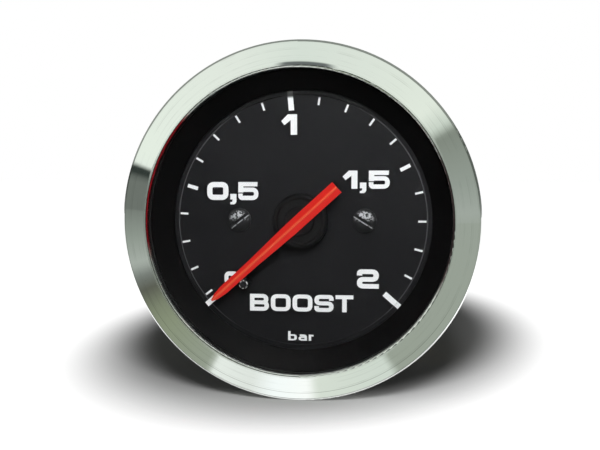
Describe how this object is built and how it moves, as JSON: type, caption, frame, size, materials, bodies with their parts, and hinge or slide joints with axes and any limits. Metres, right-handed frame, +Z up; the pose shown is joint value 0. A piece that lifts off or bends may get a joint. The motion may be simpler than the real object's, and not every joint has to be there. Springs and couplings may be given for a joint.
{
  "type": "boost gauge",
  "caption": "Round mechanical boost gauge for a 52 mm panel hole: chrome bezel, black dial, red pointer, tube movement, rear inlet, lamp and clamp.",
  "frame": {"origin": "on the gauge's axis, in the plane of the bezel's back lip, which rests on the panel", "axes": "+Y along the axis towards the rear fittings, so the dial faces -Y; +Z up on the dial; +X to the right as the dial is read"},
  "size_m": [0.06, 0.0591, 0.06],
  "materials": {
    "chrome": "polished with fine spun lines",
    "clear_glass": "clear, polished",
    "black_rubber": "matte",
    "ring_black": "satin",
    "dial_black": "matte",
    "dark_steel": "blackened",
    "pointer_red": "satin",
    "hub_black": "semi-gloss",
    "steel": "turned",
    "spring_steel": "polished",
    "brass": "turned",
    "zinc_steel": "bright zinc plated",
    "case_black": "satin",
    "black_plastic": "moulded",
    "bulb_glass": "clear"
  },
  "bodies": {
    "gauge": {"bezel": "chrome", "glass": "clear_glass", "glass_gasket": "black_rubber", "dial_ring": "ring_black", "dial": "dial_black", "dial_screws": "dark_steel", "stop_pin": "dark_steel", "hairspring": "spring_steel", "hairspring_stud": "brass", "pressure_tube": "brass", "socket_block": "brass", "front_plate": "brass", "back_plate": "brass", "pillars": "brass", "pillar_nut": "steel", "dial_posts": "brass", "block_screws": "steel", "case": "case_black", "case_studs": "zinc_steel", "stem_washer": "zinc_steel", "case_nut": "brass", "olive": "brass", "union_nut": "brass"},
    "pointer_group": {"pointer": "pointer_red", "pointer_hub": "hub_black", "pinion_arbor": "steel", "hairspring_collet": "brass"},
    "sector_group": {"sector_gear": "brass", "sector_arbor": "steel", "tail_pin": "steel"},
    "tube_end": {"tube_tip": "brass"},
    "link_bar": {"link": "brass"},
    "clamp": {"clamp_bracket": "zinc_steel", "lock_washers": "zinc_steel"},
    "left_nut": {"left_thumb_nut": "zinc_steel"},
    "right_nut": {"right_thumb_nut": "zinc_steel"},
    "lamp": {"lamp_holder": "black_plastic", "lamp_terminals": "brass"},
    "lamp_bulb": {"bulb": "bulb_glass"}
  },
  "joints": [
    {"name": "pointer_spin", "type": "hinge", "parent": "gauge", "child": "pointer_group", "pos_m": [0, 0, 0], "axis": [0, 1, 0], "range_deg": [0, 263], "stiffness_Nm_per_rad": 0.0002, "springref_deg": -17.19, "deforming": ["hairspring"]},
    {"name": "sector_swing", "type": "hinge", "parent": "gauge", "child": "sector_group", "pos_m": [0.00839, 0.009, -0.01244], "axis": [0, 1, 0], "range_deg": [-29.3, 0]},
    {"name": "tip_flex", "type": "hinge", "parent": "gauge", "child": "tube_end", "pos_m": [-0.00185, 0.019, 0.00445], "axis": [0, 1, 0], "range_deg": [-5.1, 0], "deforming": ["pressure_tube"]},
    {"name": "link_turn", "type": "hinge", "parent": "tube_end", "child": "link_bar", "pos_m": [0.01585, 0.009, -0.00938], "axis": [0, 1, 0], "range_deg": [0, 8]},
    {"name": "left_nut_travel", "type": "slide", "parent": "gauge", "child": "left_nut", "axis": [0, 1, 0], "range_m": [0, 0.0049]},
    {"name": "right_nut_travel", "type": "slide", "parent": "gauge", "child": "right_nut", "axis": [0, 1, 0], "range_m": [0, 0.0049]},
    {"name": "clamp_travel", "type": "slide", "parent": "gauge", "child": "clamp", "axis": [0, 1, 0], "range_m": [0, 0.0049]},
    {"name": "lamp_pull", "type": "slide", "parent": "gauge", "child": "lamp", "axis": [0, 1, 0], "range_m": [0, 0.02]},
    {"name": "bulb_pull", "type": "slide", "parent": "lamp", "child": "lamp_bulb", "axis": [0, -1, 0], "range_m": [0, 0.009]}
  ],
  "couplings": [
    {"joint": "sector_swing", "follows": "pointer_spin", "ratio": -0.11111},
    {"joint": "tip_flex", "follows": "pointer_spin", "ratio": -0.01918},
    {"joint": "link_turn", "follows": "pointer_spin", "ratio": 0.0302},
    {"joint": "right_nut_travel", "follows": "left_nut_travel", "ratio": 1},
    {"joint": "clamp_travel", "follows": "left_nut_travel", "ratio": 1}
  ]
}
